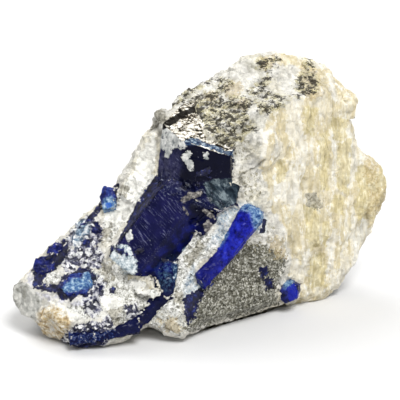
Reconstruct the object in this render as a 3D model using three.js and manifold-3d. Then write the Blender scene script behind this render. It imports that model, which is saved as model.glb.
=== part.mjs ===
// A hand specimen of afghanite: deep blue crystals grown in a broken block of white calcite marble.
// Millimetres, +X to the right, +Y away from the viewer, +Z up. It rests on its flat underside at z = 0.
import * as THREE from "three";
import Module from "manifold-3d";
import { ConvexGeometry } from "three/addons/geometries/ConvexGeometry.js";
import { LoftGeometry } from "three/addons/geometries/LoftGeometry.js";
import { ImprovedNoise } from "three/addons/math/ImprovedNoise.js";
import { mergeVertices } from "three/addons/utils/BufferGeometryUtils.js";

const wasm = await Module();
wasm.setup();

// Driving dimensions
const GAP = 0.35; // clearance between a crystal and the pocket that holds it
const RING_STEPS = 6; // facets on each side of a section's outline
const SLICE_LENGTH = 2; // longest step from one ring of the loft to the next
const CUT_SIZE = 120; // side of the blocks that break the stone off flat
const WELD = 1e-4; // vertices closer than this are one

// Roughness of the broken stone: wavelength and height of each layer
const ROUGH_LAYERS = [
  { wave: 13, height: 0.9 },
  { wave: 5.2, height: 0.7 },
  { wave: 2.6, height: 0.35 },
];

// Sections of the stone across X as [y, z] points. The front runs from the base over the foot, the face
// and the shoulder to the crest; the back runs from behind the crest down to the base.
const SECTIONS = [
  {
    x: -39.5,
    front: [[-7.5, 8], [-8.5, 8.2], [-9, 9], [-9, 9.8], [-8.3, 10.4], [-7, 10.6]],
    back: [[-5.8, 10.5], [-5, 9.8], [-5.2, 8.8], [-6.2, 8.1]],
  },
  {
    x: -37.5,
    front: [[-7.5, 4.5], [-10, 5.5], [-12, 8], [-11, 10], [-8.5, 11.3], [-5, 11.7]],
    back: [[-2, 10.5], [0, 8.5], [-1, 5.5], [-4, 4.2]],
  },
  {
    x: -34,
    front: [[-8, 2.5], [-12, 5.6], [-13.5, 7.8], [-11.5, 10.8], [-7.5, 13.8], [-3.5, 15.8]],
    back: [[1, 13], [4.5, 9], [4, 4], [0, 1]],
  },
  {
    x: -30,
    front: [[-10.5, -0.2], [-14, 4.2], [-16, 7], [-12, 11.5], [-6.5, 15.8], [-1.5, 18.7]],
    back: [[4, 16.5], [8.5, 10.5], [8, 4], [4, -1]],
  },
  {
    x: -25.2,
    front: [[-12.5, -1.5], [-15.7, 1.5], [-16.5, 6.5], [-12, 12.2], [-5.5, 17.8], [0.5, 22.3]],
    back: [[7, 19.5], [12, 12], [11, 4], [7, -1.5]],
  },
  {
    x: -20,
    front: [[-12, -1.5], [-15.5, 1.8], [-15.5, 6.8], [-11, 13], [-4, 20.2], [2.5, 26.4]],
    back: [[9.5, 24], [15, 14], [14, 4.5], [10, -1.5]],
  },
  {
    x: -15.5,
    front: [[-9, -1.5], [-14, 3.2], [-14, 8.5], [-8.5, 16.5], [-1, 25.2], [4.5, 32.4]],
    back: [[11.5, 29], [17.5, 16], [17, 5], [13, -1.5]],
  },
  {
    x: -11,
    front: [[-3.5, -1], [-12.1, 5.2], [-12.8, 9.5], [-8, 17], [1, 31], [7, 41.2]],
    back: [[14.5, 36], [20.5, 18], [20, 5], [16, -1.5]],
  },
  {
    x: -6,
    front: [[-5.5, -1], [-13, 4], [-12.5, 9.5], [-6, 20], [3, 37], [10, 45.2]],
    back: [[17.5, 39], [23.5, 20], [23, 5.5], [18.5, -1.5]],
  },
  {
    x: -1.5,
    front: [[-6, -1.5], [-11.9, 4], [-10.5, 10], [-4.5, 21], [2, 41], [12.5, 47.6]],
    back: [[20.5, 42], [26, 22], [25.5, 6], [21, -1.5]],
  },
  {
    x: 4,
    front: [[-2.5, -1.5], [-7.6, 4.6], [-6.5, 13], [-3, 26], [0.5, 43], [15.5, 50.2]],
    back: [[23.5, 44], [28.5, 23], [27.5, 6], [23, -1.5]],
  },
  {
    x: 9.5,
    front: [[1, -1.5], [-3.6, 4], [-2.5, 14.5], [-0.5, 30], [1.5, 45.5], [17.5, 52.7]],
    back: [[25.5, 45.5], [30, 24], [28.5, 6], [24, -1.5]],
  },
  {
    x: 15,
    front: [[5, -1.5], [0.3, 3.9], [0.5, 15], [2, 31], [3.5, 47], [19, 53.8]],
    back: [[26.5, 46], [30, 24], [28, 6], [23.5, -1.5]],
  },
  {
    x: 21,
    front: [[9, -1.5], [5.3, 2.8], [4, 15], [5.3, 32], [7.5, 48], [20, 52.2]],
    back: [[27, 45], [29.5, 24], [27, 6], [22, -1.5]],
  },
  {
    x: 26.3,
    front: [[11, -1], [8.5, 2.5], [7.8, 17], [9.5, 34], [12.5, 47.3], [20.5, 50.4]],
    back: [[26.5, 42], [28, 23], [25.5, 7], [20, -0.5]],
  },
  {
    x: 30,
    front: [[13, 2], [11, 3.8], [10.8, 17], [12, 31], [14.5, 43], [19, 45.4]],
    back: [[24.5, 38], [26, 23], [23, 9], [18, 4]],
  },
  {
    x: 33,
    front: [[15, 7.5], [13.5, 8.6], [12.8, 19], [13.8, 29], [15.5, 41.5], [18.5, 43.9]],
    back: [[22.5, 37], [24.5, 23], [22, 13], [18.5, 9]],
  },
  {
    x: 33.8,
    front: [[15.5, 9.2], [14, 10], [13.5, 19], [14.3, 26], [16, 30.8], [19, 32]],
    back: [[22, 29], [24, 22], [21.8, 14], [18.5, 10.5]],
  },
  {
    x: 36.5,
    front: [[16.5, 13.2], [15.3, 14], [14.8, 19.5], [15.2, 24.5], [16.5, 28.9], [18.5, 30]],
    back: [[21, 27.5], [22.5, 22], [21, 17], [18.5, 14.3]],
  },
  {
    x: 39.5,
    front: [[17.6, 18.3], [17, 18.8], [16.7, 20.6], [16.8, 22.4], [17.4, 24], [18.3, 24.6]],
    back: [[19.2, 23.3], [19.8, 21.8], [19.3, 20.3], [18.5, 18.8]],
  },
];

// Rounded lumps that stand out from the stone: centre and half sizes
const LUMPS = {
  greyBump: { at: [-7.8, 7.2, 43], size: [2.5, 3.2, 2.4] },
  cornerNub: { at: [30.6, 18, 42.6], size: [2.9, 4, 2] },
  ochreKnob: { at: [6.7, 14, 47.8], size: [3, 2.8, 1.8] },
  headCollar: { at: [11.2, 2.4, 38.2], size: [5.8, 2.9, 5.2] },
  cheek: { at: [-16.8, -8.4, 17.4], size: [3, 3, 3.6] },
  lowerTip: { at: [-4.8, -10.8, 3.8], size: [3.4, 2.4, 2.8] },
};

// A pointed finger of stone that lies over the tail of the main crystal
const FINGER = [
  [-16, -9, 16.5], [-12.2, -9.6, 16.6], [-15.5, -11.5, 12.2], [-11, -12.8, 11],
  [-9.5, -12.6, 13.4], [-7.6, -13.9, 11.6], [-12, -13.4, 12.8],
];

// Flat breaks: a point on each face and the direction it looks in
const BREAKS = {
  base: { point: [0, 0, 0], outward: [0, 0, -1] },
  toe: { point: [-35.2, -11.2, 6], outward: [-0.62, -0.76, 0.12] },
  back: { point: [14, 30.2, 22], outward: [0.2, 0.97, 0.1] },
  upperBack: { point: [12, 25.4, 47.4], outward: [0.05, 0.78, 0.62] },
  leftBack: { point: [-14, 17.4, 18], outward: [-0.5, 0.86, 0.02] },
  lowBack: { point: [8, 26, 3], outward: [-0.1, 0.86, -0.5] },
};

// Small bites out of the stone: a block's centre, its size and its turn about each axis in degrees
const BITES = {
  backLedge: { at: [20, 31.5, 40], size: [26, 9, 18], turn: [14, 10, -8] },
  backChip: { at: [-2, 26.5, 26], size: [15, 8, 20], turn: [-24, 16, 30] },
  heelNotch: { at: [35.2, 18, 37.4], size: [6.4, 24, 6.2], turn: [0, -12, 0] },
  neckHollow: { at: [-3, -3.4, 30.6], size: [12, 5.4, 6.4], turn: [-14, 4, 6] },
  faceCrack: { at: [11.6, -1.4, 34.2], size: [6.5, 4.4, 0.9], turn: [24, 22, 8] },
};

// Outlines across a crystal's own axis as [right, up] corners, with an optional step along the axis
const HEAD_TOP = [[-7.3, -0.2], [-3.3, -5.4], [6.9, -6.4, -2.8], [9, 0.5, -2.6], [4.5, 7.2, -0.6], [-3, 7.6]];
const HEAD_FOOT = [[-8, -5.4], [-2.2, -8.4], [7.8, -6.8], [9, 0.5], [4.5, 7.2], [-3, 7.6]];
const PRISM_TOP = [[0.3, -6.6], [5.9, -3.2], [5.7, 3.4], [0, 6.8], [-5.9, 3.4], [-5.8, -3.4]];
const PRISM_END = [[0, -6.8, -0.6], [6, -3.3, 2.6], [5.8, 3.4, 2.4], [0, 6.8, 0], [-5.9, 3.4, 0], [-6, -3.4, -0.8]];
const SHOULDER_OUTLINE = [[-5.6, 1.2], [-1, 3.4], [4, 3.4], [4.4, 0], [2, -3], [-2.6, -3]];
const BLACK_OUTLINE = [[-3.6, 2.6], [1.4, 3.4], [3.4, 0.4], [2.6, -3.8], [-0.8, -4.4], [-3.4, -2]];
const RIDGE_OUTLINE = [[-1.9, -2.4], [0.9, -3.1], [1.9, -0.4], [1.5, 2.2], [-0.4, 3.1], [-1.9, 1]];
const TOE_OUTLINE = [[-3.9, -0.6], [-2.2, -2.7], [2, -2.9], [3.9, -0.6], [3.1, 2.3], [-1.6, 2.5]];

function hexagon(radius, turn = 0, squash = 1) {
  return Array.from({ length: 6 }, (_, k) => {
    const angle = THREE.MathUtils.degToRad(turn + 60 * k);
    return [radius * Math.cos(angle), radius * squash * Math.sin(angle)];
  });
}

// Crystals. Each block is a hull through two or three rings: centre, axis and outline of each ring.
const CRYSTALS = [
  {
    name: "afghanite_main_crystal",
    color: 0x10124a,
    blocks: [
      [
        { at: [-0.4, 2.5, 43.2], axis: [0.06, -0.31, 0.94], outline: HEAD_TOP },
        { at: [-1.2, 5.4, 30], axis: [0.06, -0.18, 0.98], outline: HEAD_FOOT },
        { at: [-1.3, 5.8, 28], axis: [0.06, -0.18, 0.98], outline: HEAD_FOOT, scale: 0.7 },
      ],
      [
        { at: [-2.6, 0.2, 28.8], axis: [0.6, 0.35, 0.72], outline: PRISM_TOP },
        { at: [-14.6, -6.8, 14.6], axis: [0.6, 0.35, 0.72], outline: PRISM_END },
      ],
      [
        { at: [3.4, -3.2, 29.6], axis: [0.15, -0.9, 0.4], outline: SHOULDER_OUTLINE },
        { at: [2.4, 2.6, 27.6], axis: [0.15, -0.9, 0.4], outline: SHOULDER_OUTLINE, scale: 1.15 },
      ],
      [
        { at: [0.4, -4, 26], axis: [0.3, -0.86, 0.4], outline: BLACK_OUTLINE },
        { at: [-1, 1.4, 24], axis: [0.3, -0.86, 0.4], outline: BLACK_OUTLINE, scale: 1.1 },
      ],
      [
        { at: [-6.6, -7.6, 16.6], axis: [0.2, 0.4, 0.9], outline: hexagon(2.8, 10) },
        { at: [-7.4, -10.6, 10.4], axis: [0.2, 0.4, 0.9], outline: hexagon(2.5, 10) },
      ],
      [
        { at: [-6.6, -10.6, 11.4], axis: [0.67, 0.2, 0.7], outline: hexagon(2.2, 25, 0.8) },
        { at: [-13.9, -12.6, 4.5], axis: [0.67, 0.2, 0.7], outline: hexagon(1.8, 25, 0.8) },
      ],
      [
        { at: [-12.8, -13.2, 4.8], axis: [0.98, 0.17, 0.1], outline: hexagon(1.9, 0) },
        { at: [-27.2, -15.6, 2.5], axis: [0.98, 0.17, 0.1], outline: hexagon(1.6, 0) },
      ],
    ],
  },
  {
    name: "royal_blue_bar_crystal",
    color: 0x1626c8,
    blocks: [
      [
        { at: [-0.2, -9.6, 12.9], axis: [0.72, 0.5, 0.48], outline: hexagon(2, 15) },
        { at: [5.6, -5, 17.6], axis: [0.66, 0.44, 0.6], outline: hexagon(1.9, 15) },
      ],
      [
        { at: [4.9, -5.4, 16.9], axis: [0.5, 0.3, 0.8], outline: hexagon(1.9, 5) },
        { at: [10.6, -2.4, 25], axis: [0.5, 0.3, 0.8], outline: hexagon(2.9, 5, 0.85) },
        { at: [11.5, -1.8, 26.4], axis: [0.5, 0.3, 0.8], outline: hexagon(2.1, 5, 0.85) },
      ],
    ],
  },
  {
    name: "right_foot_crystal",
    color: 0x0f1f8f,
    blocks: [
      [
        { at: [18.8, 5.6, 4.6], axis: [-0.1, -0.85, 0.5], outline: hexagon(3, 12, 1.05) },
        { at: [18.5, 3.4, 5.4], axis: [-0.1, -0.85, 0.5], outline: hexagon(2.7, 12, 1.05) },
        { at: [18, 1.8, 6.6], axis: [-0.1, -0.85, 0.5], outline: hexagon(0.8, 12) },
      ],
    ],
  },
  {
    name: "ridge_crystal",
    color: 0x5e8fd0,
    blocks: [
      [
        { at: [-18.7, 2.6, 26], axis: [-0.2, -0.75, 0.6], outline: RIDGE_OUTLINE },
        { at: [-19.2, 0.4, 27.8], axis: [-0.2, -0.75, 0.6], outline: RIDGE_OUTLINE, scale: 0.85 },
      ],
    ],
  },
  {
    name: "slope_crystal",
    color: 0x141c72,
    blocks: [
      [
        { at: [-29.8, -2.4, 16], axis: [-0.2, -0.6, 0.77], outline: hexagon(2.2, 20, 0.85) },
        { at: [-30.3, -4, 18.1], axis: [-0.2, -0.6, 0.77], outline: hexagon(1.8, 20, 0.85) },
      ],
      [
        { at: [-31.9, -4.5, 13.4], axis: [-0.2, -0.6, 0.77], outline: hexagon(2.9, 5, 0.9) },
        { at: [-32.5, -6.2, 15.5], axis: [-0.2, -0.6, 0.77], outline: hexagon(2.4, 5, 0.9) },
      ],
    ],
  },
  {
    name: "toe_crystal",
    color: 0x1b3fa0,
    blocks: [
      [
        { at: [-25.4, -9.6, 11.4], axis: [-0.1, -0.65, 0.75], outline: TOE_OUTLINE },
        { at: [-25.6, -11.3, 13.6], axis: [-0.1, -0.65, 0.75], outline: TOE_OUTLINE, scale: 0.86 },
      ],
    ],
  },
];

// A closed geometry as a solid that can be joined and cut.
function solidFrom(geometry) {
  const merged = mergeVertices(bareGeometry(geometry), WELD);
  return new wasm.Manifold(
    new wasm.Mesh({
      numProp: 3,
      vertProperties: merged.attributes.position.array,
      triVerts: new Uint32Array(merged.index.array),
    }),
  );
}

// The same triangles with positions only, so that equal corners can be welded.
function bareGeometry(geometry) {
  const bare = new THREE.BufferGeometry();
  bare.setAttribute("position", geometry.getAttribute("position"));
  bare.setIndex(geometry.index);
  return bare;
}

// A solid as a geometry with flat-shaded facets.
function geometryFrom(solid) {
  const mesh = solid.getMesh();
  const geometry = new THREE.BufferGeometry();
  geometry.setAttribute("position", new THREE.BufferAttribute(mesh.vertProperties, 3));
  geometry.setIndex(new THREE.BufferAttribute(mesh.triVerts, 1));
  const flat = geometry.toNonIndexed();
  flat.computeVertexNormals();
  return flat;
}

function largestBody(solid) {
  return solid.decompose().reduce((a, b) => (a.volume() > b.volume() ? a : b));
}

const perlin = new ImprovedNoise();
function roughness(p) {
  let height = 0;
  for (const { wave, height: layerHeight } of ROUGH_LAYERS) {
    height += layerHeight * perlin.noise(p.x / wave + 31, p.y / wave + 17, p.z / wave + 5);
  }
  return height;
}

// One ring of the loft: the outline between two sections, with each side divided into equal steps.
function sliceRing(before, after, share) {
  const x = THREE.MathUtils.lerp(before.x, after.x, share);
  const start = [...before.front, ...before.back];
  const end = [...after.front, ...after.back];
  const corners = start.map(([y, z], i) => {
    const [endY, endZ] = end[i];
    return new THREE.Vector3(x, THREE.MathUtils.lerp(y, endY, share), THREE.MathUtils.lerp(z, endZ, share));
  });
  return corners.flatMap((corner, i) => {
    const next = corners[(i + 1) % corners.length];
    return Array.from({ length: RING_STEPS }, (_, k) => corner.clone().lerp(next, k / RING_STEPS));
  });
}

function stoneGeometry() {
  const rings = [];
  for (let i = 0; i + 1 < SECTIONS.length; i++) {
    const steps = Math.ceil((SECTIONS[i + 1].x - SECTIONS[i].x) / SLICE_LENGTH);
    for (let k = 0; k < steps; k++) {
      rings.push(sliceRing(SECTIONS[i], SECTIONS[i + 1], k / steps));
    }
  }
  rings.push(sliceRing(SECTIONS.at(-2), SECTIONS.at(-1), 1));
  rings.forEach((ring) => ring.reverse());
  const loft = new LoftGeometry(rings, { capStart: true, capEnd: true });
  const stone = mergeVertices(bareGeometry(loft), WELD);
  stone.computeVertexNormals();
  const position = stone.getAttribute("position");
  const normal = stone.getAttribute("normal");
  for (let i = 0; i < position.count; i++) {
    const point = new THREE.Vector3().fromBufferAttribute(position, i);
    const outward = new THREE.Vector3().fromBufferAttribute(normal, i);
    point.addScaledVector(outward, roughness(point));
    position.setXYZ(i, point.x, point.y, point.z);
  }
  return bareGeometry(stone);
}

function lump({ at, size }) {
  const ball = new THREE.IcosahedronGeometry(1, 2).scale(...size).translate(...at);
  return solidFrom(ball);
}

// The block beyond a flat break.
function beyond({ point, outward }) {
  const direction = new THREE.Vector3(...outward).normalize();
  const block = new THREE.BoxGeometry(CUT_SIZE, CUT_SIZE, CUT_SIZE).translate(0, 0, CUT_SIZE / 2);
  block.applyQuaternion(new THREE.Quaternion().setFromUnitVectors(new THREE.Vector3(0, 0, 1), direction));
  return solidFrom(block.translate(...point));
}

function bite({ at, size, turn }) {
  const [rx, ry, rz] = turn.map(THREE.MathUtils.degToRad);
  const block = new THREE.BoxGeometry(...size).rotateX(rx).rotateY(ry).rotateZ(rz);
  return solidFrom(block.translate(...at));
}

function ringCorners({ at, axis, outline, scale = 1 }) {
  const along = new THREE.Vector3(...axis).normalize();
  const right = new THREE.Vector3(0, 1, 0).cross(along).normalize();
  const up = along.clone().cross(right);
  return outline.map(([a, b, step = 0]) =>
    new THREE.Vector3(...at)
      .addScaledVector(right, a * scale)
      .addScaledVector(up, b * scale)
      .addScaledVector(along, step),
  );
}

// All blocks of a crystal as one solid; a margin swells it on every side to shape its pocket.
function crystalSolid({ blocks }, margin = 0) {
  const ball = new THREE.IcosahedronGeometry(margin * 1.1, 0).getAttribute("position");
  const steps = margin
    ? Array.from({ length: ball.count }, (_, i) => new THREE.Vector3().fromBufferAttribute(ball, i))
    : [new THREE.Vector3()];
  return blocks
    .map((rings) => rings.flatMap(ringCorners).flatMap((corner) => steps.map((s) => corner.clone().add(s))))
    .map((corners) => solidFrom(new ConvexGeometry(corners)))
    .reduce((whole, block) => whole.add(block));
}

let stone = solidFrom(stoneGeometry());
for (const shape of Object.values(LUMPS)) stone = stone.add(lump(shape));
stone = stone.add(solidFrom(new ConvexGeometry(FINGER.map((corner) => new THREE.Vector3(...corner)))));
for (const face of Object.values(BREAKS)) stone = stone.subtract(beyond(face));
for (const shape of Object.values(BITES)) stone = stone.subtract(bite(shape));
for (const crystal of CRYSTALS) stone = stone.subtract(crystalSolid(crystal, GAP));

const pieces = [
  { name: "calcite_matrix", color: 0xe9e4d6, solid: largestBody(stone) },
  ...CRYSTALS.map((crystal) => ({ ...crystal, solid: crystalSolid(crystal) })),
];

const specimen = new THREE.Group();
for (const { name, color, solid } of pieces) {
  const material = new THREE.MeshStandardMaterial({ color, roughness: 0.5, metalness: 0 });
  const mesh = new THREE.Mesh(geometryFrom(solid), material);
  mesh.name = name;
  specimen.add(mesh);
}

// The origin is the middle of the specimen's bounding box, on the ground.
const bounds = new THREE.Box3().setFromObject(specimen);
const middle = bounds.getCenter(new THREE.Vector3());
for (const mesh of specimen.children) mesh.geometry.translate(-middle.x, -middle.y, -bounds.min.z);

export default specimen;
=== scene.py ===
"""Looks of a hand specimen of afghanite: dark and royal blue crystals in a broken block of calcite marble."""
import itertools
import math

import bmesh
import bpy
import numpy as np
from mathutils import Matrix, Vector
from mathutils.bvhtree import BVHTree


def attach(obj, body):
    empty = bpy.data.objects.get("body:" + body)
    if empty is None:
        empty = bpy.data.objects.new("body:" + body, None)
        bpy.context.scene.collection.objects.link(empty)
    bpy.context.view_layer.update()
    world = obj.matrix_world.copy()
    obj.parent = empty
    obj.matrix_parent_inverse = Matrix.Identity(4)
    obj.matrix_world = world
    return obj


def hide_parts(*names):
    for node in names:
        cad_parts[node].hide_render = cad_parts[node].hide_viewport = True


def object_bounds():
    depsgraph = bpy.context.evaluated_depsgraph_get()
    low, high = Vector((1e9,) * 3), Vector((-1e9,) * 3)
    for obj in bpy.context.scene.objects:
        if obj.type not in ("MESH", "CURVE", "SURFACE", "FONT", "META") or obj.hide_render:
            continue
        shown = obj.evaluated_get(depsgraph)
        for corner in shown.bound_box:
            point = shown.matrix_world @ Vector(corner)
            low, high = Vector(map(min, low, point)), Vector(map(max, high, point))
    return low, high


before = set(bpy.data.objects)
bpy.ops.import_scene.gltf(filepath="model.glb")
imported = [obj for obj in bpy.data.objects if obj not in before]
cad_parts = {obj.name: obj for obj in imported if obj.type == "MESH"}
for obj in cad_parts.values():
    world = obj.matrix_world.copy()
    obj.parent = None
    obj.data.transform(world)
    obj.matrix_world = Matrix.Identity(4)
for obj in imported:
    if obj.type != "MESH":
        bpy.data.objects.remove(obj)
cad_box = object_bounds()
MM = 0.001

# Camera
CAMERA_AIM = Vector((-0.00046, -0.00349, 0.0262))
CAMERA_DISTANCE = 0.6
CAMERA_ELEVATION = math.radians(22)
MM_PER_PIXEL = 0.21
IMAGE_SIZE = 400
SENSOR_MM = 36

camera = bpy.data.objects.new("camera", bpy.data.cameras.new("camera"))
bpy.context.scene.collection.objects.link(camera)
bpy.context.scene.camera = camera
focal_pixels = CAMERA_DISTANCE / (MM_PER_PIXEL * MM)
camera.data.sensor_width = SENSOR_MM
camera.data.lens = SENSOR_MM * focal_pixels / IMAGE_SIZE
camera.data.clip_start = 0.01
camera.data.clip_end = 50
look = Vector((0, math.cos(CAMERA_ELEVATION), -math.sin(CAMERA_ELEVATION)))
camera.location = CAMERA_AIM - look * CAMERA_DISTANCE
camera.rotation_euler = (math.pi / 2 - CAMERA_ELEVATION, 0, 0)
VIEW_RIGHT = np.array((1.0, 0, 0))
VIEW_UP = np.array((0, math.sin(CAMERA_ELEVATION), math.cos(CAMERA_ELEVATION)))
VIEW_AHEAD = np.array(look)
EYE = np.array(camera.location)


def to_pixels(points):
    """Where points in metres fall in the photograph, as (pixel, row)."""
    away = points - EYE
    depth = away @ VIEW_AHEAD
    pixel = IMAGE_SIZE / 2 + focal_pixels * (away @ VIEW_RIGHT) / depth
    row = IMAGE_SIZE / 2 - focal_pixels * (away @ VIEW_UP) / depth
    return np.stack([pixel, row], axis=1)


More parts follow.
